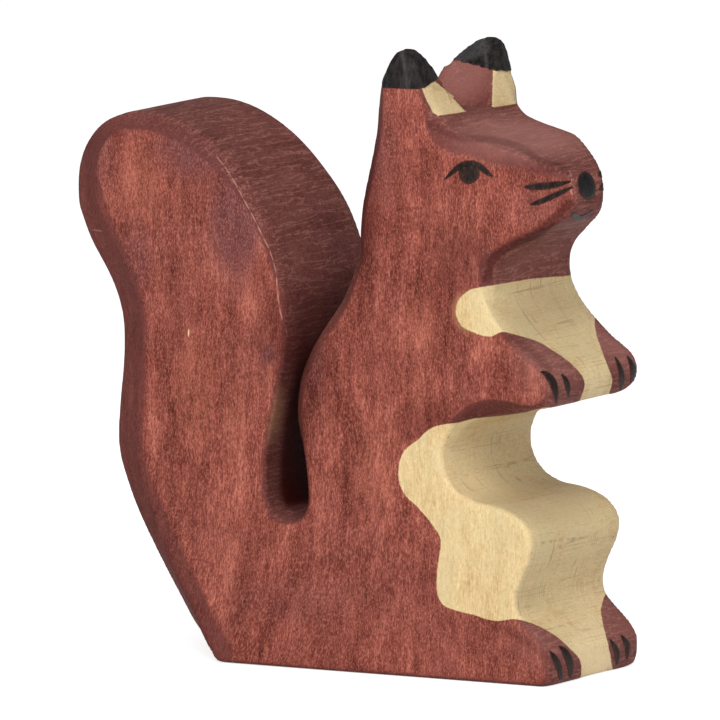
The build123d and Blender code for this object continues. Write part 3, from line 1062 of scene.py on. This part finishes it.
def markSurface(piece):
    # writes on every place what the materials read there
    spots = places(piece)
    directions = normals(piece)
    pixels = photoPixels(spots, directions)
    narrow = smoothStep(np.abs(directions[:, 1]), *plankFaces["narrow"])
    bare = bareDistance(spots, directions)
    values = {
        "narrow": narrow,
        "facetShade": facetShadeValues(spots, directions, narrow),
        "edge": edgeSharpness(piece),
        "bare": bare,
        "thin": thinValues(spots, directions, narrow, bare),
        "slotShade": slotShadeValues(spots, directions),
    }
    for name, marks in wearAndShadeSpots.items():
        wearAndShading = strongestMark(spots / mm, marks, softEdges["spot"])
        values[name] = np.maximum(wearAndShading, shadeAndSheenShare(spots, pixels, name))
    for mottles, share in ((stainMottles, 1 - narrow), (woodLightAndShade, narrow)):
        for name, marks in mottles.items():
            values[name] = strongestMark(pixels, marks, softEdges["cloud"]) * share
    for name, found in values.items():
        writeValues(piece, name, found)
    grain = spots.copy()
    low = np.clip(plankBend["height"] - spots[:, 2], 0, None)
    rear = smoothStep(spots[:, 0], *plankBend["rear"])
    grain[:, 0] += plankBend["depth"] * low ** 2 / plankBend["height"] * rear
    attribute = piece.data.attributes.new("grainPlace", "FLOAT_VECTOR", "POINT")
    attribute.data.foreach_set("vector", grain.astype(np.float32).ravel())


# the stain: a skin over the wood that thins out where the bare patches start
stainLayer = {
    "thickness": 0.07 * mm,
    "overlap": 0.8,
    "feather": 0.5,
    "edgeThickness": 0.02 * mm,
}


def coatBody(body):
    coat = meshCopy(body, "brown_stain_coat_layer")
    bare = readValues(coat, "bare")
    rise = smoothStep(bare, stainLayer["feather"], -stainLayer["feather"])
    rise = stainLayer["edgeThickness"] + stainLayer["thickness"] * rise
    movePlaces(coat, places(coat) + normals(coat) * rise[:, None])
    removePlaces(coat, bare > stainLayer["overlap"])
    useMaterial(coat, stainMaterial)
    return coat


def fromPhoto(across, down):
    place, direction, face, distance = surface.ray_cast(cameraPlace, rayThrough(across, down))
    return place, direction


def stainPlace(across, down):
    # the place on top of the stain that a pixel shows
    place, direction = fromPhoto(across, down)
    return place + direction * (stainLayer["edgeThickness"] + stainLayer["thickness"])


# chips, rubbed edges and a painted highlight along the tail's edge, as pixels along them
scratchMarks = (
    {
        "path": ((189.2, 328.5), (188.6, 337)),
        "width": 0.13 * mm, "share": 0.9, "colour": (228, 196, 158),
    },
    # a rubbed edge down the tail's inner side, with a painted highlight along it
    {
        "path": (
            (216, 157), (224, 166), (231, 177), (238, 189), (243, 199), (250, 211), (257, 224),
            (263, 237), (269, 250), (273, 262), (276, 274), (277.5, 290), (279.5, 306), (282.5, 321),
            (287, 336),
        ),
        "width": 0.11 * mm, "share": 0.42, "colour": (210, 156, 138),
    },
    {
        "path": ((568, 170), (571.5, 178), (569, 186), (572.5, 196)),
        "width": 0.14 * mm, "share": 0.45, "colour": (208, 150, 138),
    },
    {
        "path": ((92, 229.5), (104, 231), (117, 228)),
        "width": 0.12 * mm, "share": 0.35, "colour": (196, 140, 128),
    },
)
body = carveBody()
markSurface(body)
surface = BVHTree.FromPolygons(
    [tuple(spot) for spot in places(body)],
    [tuple(face.vertices) for face in body.data.polygons],
)
stainMaterial = buildStainMaterial()
coat = coatBody(body)
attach(body, "root")
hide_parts("wooden_figure")
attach(coat, "root")
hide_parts("brown_stain_coat")
print("body carved,", len(body.data.polygons), "faces, coat", len(coat.data.polygons))

# painted marks
paint = {
    "lift": 0.12 * mm,
    "thickness": 0.05 * mm,
    "weld": 0.003 * mm,
    "frontStart": 100 * mm,
    "searchSteps": 12,
    "strokeSteps": 36,
    "strokeRows": 6,
    "leastWidth": 0.15,  # pixels
    "wobble": 0.5,
    "wobblePace": (0.9, 3),  # along the stroke and across it
    "dabSides": 28,
    "dabCuts": 3,
    "dabUneven": 0.05,
    "dabPace": 1.5,
    "rimTurns": 2,
    "rimFade": 0.5,
}


def nearPhoto(across, down, middle):
    # the first place on the wood from a pixel towards the middle of its part
    for step in range(paint["searchSteps"]):
        share = step / paint["searchSteps"] / 2
        spot = across + (middle[0] - across) * share, down + (middle[1] - down) * share
        place, direction = fromPhoto(*spot)
        if place is not None:
            return place
    raise ValueError("the picked line misses the wood")


def fromFront(across, up):
    # the place on the wood straight behind a spot in front of it, in millimetres
    start = Vector((paint["frontStart"], across * mm, up * mm))
    place, direction, face, distance = surface.ray_cast(start, Vector((-1, 0, 0)))
    return place, direction


def landPaint(piece, caster):
    # every flat place of the mark drops onto the wood, and what misses it goes
    missed = []
    for vertex in piece.data.vertices:
        place, direction = caster(vertex.co.x, vertex.co.y)
        missed.append(place is None)
        if place is not None:
            vertex.co = place + direction * paint["lift"]
    removePlaces(piece, missed)


def strokeMesh(name, path, widths, steps=paint["strokeSteps"]):
    # a flat brush stroke along a path, with its width at each listed place
    line = smoothLine(path, steps // (len(path) - 1))
    spread = smoothLine([(width, 0) for width in widths], steps // (len(path) - 1))[:, 0]
    count = len(line)
    subdivisions = {"x_subdivisions": count - 1, "y_subdivisions": paint["strokeRows"]}
    piece = addPrimitive(bpy.ops.mesh.primitive_grid_add, name, size=1, **subdivisions)
    tangents = np.gradient(line, axis=0)
    tangents /= np.linalg.norm(tangents, axis=1)[:, None]
    pace, sidePace = paint["wobblePace"]
    for vertex in piece.data.vertices:
        step = int(round((vertex.co.x + 0.5) * (count - 1)))
        share = vertex.co.y * 2
        point = line[step]
        side = np.array([-tangents[step][1], tangents[step][0]])
        half = max(spread[step], paint["leastWidth"]) / 2
        rough = noise.noise(Vector((point[0] * pace, point[1] * pace, share * sidePace)))
        rough *= paint["wobble"] * min(half, 1)
        moved = point + side * share * (half + rough * abs(share))
        vertex.co = (moved[0], moved[1], 0)
    return piece


def blobMesh(name, centre, radii, tilt=0):
    # a dab of paint: an oval with a slightly uneven edge
    sides = paint["dabSides"]
    circle = {"vertices": sides, "radius": 1, "fill_type": "TRIFAN"}
    piece = addPrimitive(bpy.ops.mesh.primitive_circle_add, name, **circle)
    editAll(bpy.ops.mesh.subdivide, number_cuts=paint["dabCuts"], smoothness=0)
    turn = math.radians(tilt)
    sector = math.pi / sides
    pace = paint["dabPace"]
    for vertex in piece.data.vertices:
        away = math.hypot(vertex.co.x, vertex.co.y)
        angle = math.atan2(vertex.co.y, vertex.co.x)
        even = away * math.cos((angle % (2 * sector)) - sector) / math.cos(sector)
        rough = noise.noise(Vector((math.cos(angle) * pace + centre[0], math.sin(angle) * pace, 0)))
        even *= 1 + paint["dabUneven"] * rough
        across = math.cos(angle) * even * radii[0]
        down = math.sin(angle) * even * radii[1]
        vertex.co = (
            centre[0] + across * math.cos(turn) - down * math.sin(turn),
            centre[1] + across * math.sin(turn) + down * math.cos(turn),
            0,
        )
    return piece


def joinPieces(pieces, name):
    onlySelect(pieces[0])
    for piece in pieces[1:]:
        piece.select_set(True)
    if len(pieces) > 1:
        bpy.ops.object.join()
    joined = bpy.context.view_layer.objects.active
    joined.name = name
    return joined


def finishPaint(piece, node, material):
    # outward faces, a film's thickness and the distance from its rim
    onlySelect(piece)
    editAll(bpy.ops.mesh.remove_doubles, threshold=paint["weld"])
    wrong = 0
    for face in piece.data.polygons:
        place, direction, index, distance = surface.find_nearest(face.center)
        wrong += 1 if direction.dot(face.normal) < 0 else -1
    if wrong > 0:
        piece.data.flip_normals()
    markRim(piece)
    spots = places(piece)
    writeValues(piece, "paintedSheen", shadeAndSheenShare(spots, pixelsOf(spots), "paintedSheen"))
    applyModifier(piece, "SOLIDIFY", thickness=paint["thickness"], offset=1, use_even_offset=False)
    bpy.ops.object.shade_smooth()
    useMaterial(piece, material)
    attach(piece, "root")
    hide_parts(node)


def markRim(piece):
    # 1 at the rim of the film, falling to 0 a few steps inside
    ends = edgeEnds(piece)
    used = {}
    for face in piece.data.polygons:
        for key in face.edge_keys:
            used[key] = used.get(key, 0) + 1
    level = np.zeros(len(piece.data.vertices))
    for key, count in used.items():
        if count == 1:
            level[list(key)] = 1
    for turn in range(paint["rimTurns"]):
        spread = level.copy()
        np.maximum.at(spread, ends[:, 0], level[ends[:, 1]] * paint["rimFade"])
        np.maximum.at(spread, ends[:, 1], level[ends[:, 0]] * paint["rimFade"])
        level = spread
    writeValues(piece, "rim", level)


def mirroredCopy(piece, name, node):
    # the same mark on the squirrel's other side
    twin = meshCopy(piece, name)
    movePlaces(twin, places(twin) * (1, -1, 1))
    twin.data.flip_normals()
    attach(twin, "root")
    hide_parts(node)


# the marks in the photograph's pixels: a stroke's path and its width at each picked place, and a dab's
# centre, radii and tilt, which for the far whisker tips are millimetres across and up, seen from the front
eyeMark = {
    "pupil": ((469.3, 172.8), (10.2, 11.2)),
    "lidPath": (
        (444.8, 179.8), (449.5, 175.2), (455.5, 169.8), (462, 165.6), (470, 164.2), (477, 165.2),
        (484, 169.8), (489, 174.2), (493, 176.4),
    ),
    "lidWidths": (0.6, 3.4, 5.4, 7, 7.4, 7, 6, 4, 0.8),
    "lidSteps": 64,
}
whiskerMark = {
    "upperPath": ((523.6, 187), (530, 186.9), (540, 186.2), (552, 184.9), (562, 183.2), (570.5, 181.4)),
    "upperWidths": (1, 5.6, 7.4, 6.8, 4.6, 1.2),
    "lowerPath": ((529.4, 204.4), (536, 202.9), (546, 199), (556, 194.4), (565, 190.3), (572.4, 186.8)),
    "lowerWidths": (1, 4.8, 5.6, 5.4, 4.2, 1.2),
}
noseMark = {
    "nose": ((585.7, 186.1), (8.4, 13.9), -12),
    "farTips": (((3.9, 63.5), (1.05, 0.42), 0), ((3.9, 61.95), (1.5, 0.5), 0)),
}
mouthMark = {
    "path": ((571.5, 213.2), (574.5, 215.8), (579.5, 217.4), (585, 215.2), (589.5, 211.8), (593, 209.4)),
    "widths": (3.0, 7.6, 5.0, 3.6, 2.6, 1.0),
}
forepawClaws = {
    "right": (
        (((540.6, 372), (546, 374.8), (551.4, 381.5), (554.6, 391), (556, 403.5)), (0.8, 5, 7.4, 6, 0.8)),
        (((560.6, 374.5), (564.4, 379.5), (567, 387), (567.4, 396.5)), (0.8, 4.4, 5.2, 0.8)),
    ),
    "left": (
        (
            ((614.2, 357.5), (617.6, 364.5), (620.6, 373.5), (621, 381.5), (619.8, 389.5)),
            (0.8, 3.8, 5.4, 5, 0.8),
        ),
        (
            ((626.2, 356.5), (630, 363), (632.6, 371.5), (632.4, 379.5), (630.6, 387)),
            (0.8, 4.2, 6.2, 5.4, 0.8),
        ),
    ),
}
hindClaws = {
    "right": (
        (((549, 651.5), (553.4, 657.5), (557.4, 665.5), (560.4, 679)), (0.8, 5.4, 6.4, 3.2)),
        (((558.2, 646.4), (563.6, 651.4), (568, 659.8), (569.6, 668), (569.4, 677)), (0.8, 6, 7.8, 6, 2.2)),
    ),
    "left": (
        (((609, 639.6), (613, 645.6), (616, 652.4), (616, 664.5)), (0.8, 4.4, 5.4, 1.6)),
        (((620, 635.4), (624, 640.6), (626.6, 646.6), (626, 659)), (0.8, 4.6, 5.4, 1.4)),
    ),
}


def paintStrokes(name, node, strokes, material):
    made = []
    for number, (path, widths) in enumerate(strokes):
        piece = strokeMesh(f"{name}_{number}", path, widths)
        landPaint(piece, fromPhoto)
        made.append(piece)
    piece = joinPieces(made, name)
    finishPaint(piece, node, material)
    return piece


def paintEyes():
    pupil = blobMesh("pupil", *eyeMark["pupil"])
    landPaint(pupil, fromPhoto)
    lid = strokeMesh("lid", eyeMark["lidPath"], eyeMark["lidWidths"], eyeMark["lidSteps"])
    landPaint(lid, fromPhoto)
    eye = joinPieces([pupil, lid], "right_eye")
    finishPaint(eye, "eye_paint_right", thinPaint)
    mirroredCopy(eye, "left_eye", "eye_paint_left")


def paintFace():
    paintEyes()
    whiskers = paintStrokes("right_whiskers", "whisker_paint_right", (
        (whiskerMark["upperPath"], whiskerMark["upperWidths"]),
        (whiskerMark["lowerPath"], whiskerMark["lowerWidths"]),
    ), thinPaint)
    mirroredCopy(whiskers, "left_whiskers", "whisker_paint_left")
    nose = blobMesh("nose", *noseMark["nose"])
    landPaint(nose, fromPhoto)
    finishPaint(nose, "nostril_paint_right", nosePaint)
    tips = [blobMesh(f"tip_{number}", *facts) for number, facts in enumerate(noseMark["farTips"])]
    for tip in tips:
        landPaint(tip, fromFront)
    finishPaint(joinPieces(tips, "left_whisker_tips"), "nostril_paint_left", thinPaint)
    paintStrokes("mouth", "mouth_paint", ((mouthMark["path"], mouthMark["widths"]),), mouthPaint)


def paintPaws():
    for side in ("right", "left"):
        paintStrokes(f"{side}_forepaw_claws", f"forepaw_claw_paint_{side}", forepawClaws[side], thinPaint)
        paintStrokes(f"{side}_hind_claws", f"hind_paw_claw_paint_{side}", hindClaws[side], thinPaint)


earTips = {
    "right": {"line": ((387, 87.8), (421.7, 88.4), (434, 81)), "side": -1},
    "left": {"line": ((461, 62), (486, 68.5), (508, 71)), "side": 1},
    "lowest": 70 * mm,
}


def paintEarTip(side):
    # the tip of one ear, cut from the body along the brushed line
    facts = earTips[side]
    tip = meshCopy(body, f"{side}_ear_tip")
    first, second, third = [nearPhoto(*pixel, facts["line"][1]) for pixel in facts["line"]]
    across = (second - first).cross(third - first).normalized()
    if across.z < 0:
        across = -across
    editAll(bpy.ops.mesh.bisect, plane_co=first, plane_no=across, clear_inner=True)
    spots = places(tip)
    removePlaces(tip, (spots[:, 1] * facts["side"] < 0) | (spots[:, 2] < earTips["lowest"]))
    editAll(bpy.ops.mesh.subdivide, number_cuts=1, smoothness=0)
    movePlaces(tip, places(tip) + normals(tip) * paint["lift"])
    finishPaint(tip, f"ear_tip_paint_{side}", blackPaint)


paintFace()
paintPaws()
for side in ("right", "left"):
    paintEarTip(side)
print("marks painted")

# floor, backdrop and lamps
studio = {
    "floorSize": 8,
    "floorTone": 0.85,
    "floorRoughness": 0.9,
    "floorGlow": 0.68,
    "worldLight": 0.34,
    "keyAzimuth": 27,
    "keyElevation": 33,
    "keyDistance": 0.9,
    "keySize": 0.8,
    "keyPower": 7.9,
    "keyAim": (0, 0, 40 * mm),
}


def buildFloor():
    floor = addPrimitive(bpy.ops.mesh.primitive_plane_add, "floor", size=studio["floorSize"])
    material, tree, shader = newMaterial("pale_floor")
    tone = studio["floorTone"]
    shader.inputs["Base Color"].default_value = (tone, tone, tone, 1)
    shader.inputs["Roughness"].default_value = studio["floorRoughness"]
    shader.inputs["Specular IOR Level"].default_value = 0
    rays = tree.nodes.new("ShaderNodeLightPath")
    seen = mathNode(tree, "MAXIMUM", rays.outputs["Is Camera Ray"], rays.outputs["Is Glossy Ray"])
    seen = mathNode(tree, "MAXIMUM", seen, rays.outputs["Is Transmission Ray"])
    glow = multiply(tree, seen, studio["floorGlow"])
    glow = addNode(tree, "ShaderNodeEmission", {"Color": (1, 1, 1, 1), "Strength": glow})
    both = addNode(tree, "ShaderNodeAddShader", {0: shader.outputs[0], 1: glow.outputs[0]})
    tree.links.new(both.outputs[0], tree.nodes["Material Output"].inputs["Surface"])
    floor.data.materials.append(material)


def buildWorld():
    world = bpy.data.worlds.new("studio")
    world.use_nodes = True
    scene.world = world
    tree = world.node_tree
    tree.nodes.clear()
    rays = tree.nodes.new("ShaderNodeLightPath")
    seen = mathNode(tree, "MAXIMUM", rays.outputs["Is Camera Ray"], rays.outputs["Is Transmission Ray"])
    strength = mixValues(tree, seen, studio["worldLight"], 1.0)
    light = addNode(tree, "ShaderNodeBackground", {"Color": (1, 1, 1, 1), "Strength": strength})
    output = tree.nodes.new("ShaderNodeOutputWorld")
    tree.links.new(light.outputs[0], output.inputs["Surface"])


def addKeyLamp():
    data = bpy.data.lights.new("key_lamp", "AREA")
    data.shape = "DISK"
    data.size = studio["keySize"]
    data.energy = studio["keyPower"]
    place = studio["keyDistance"] * towards(studio["keyAzimuth"], studio["keyElevation"])
    placeAimed(data, place, Vector(studio["keyAim"]) - place)


buildFloor()
buildWorld()
addKeyLamp()
placeCamera()
scene.view_settings.view_transform = "Standard"
print("studio ready")
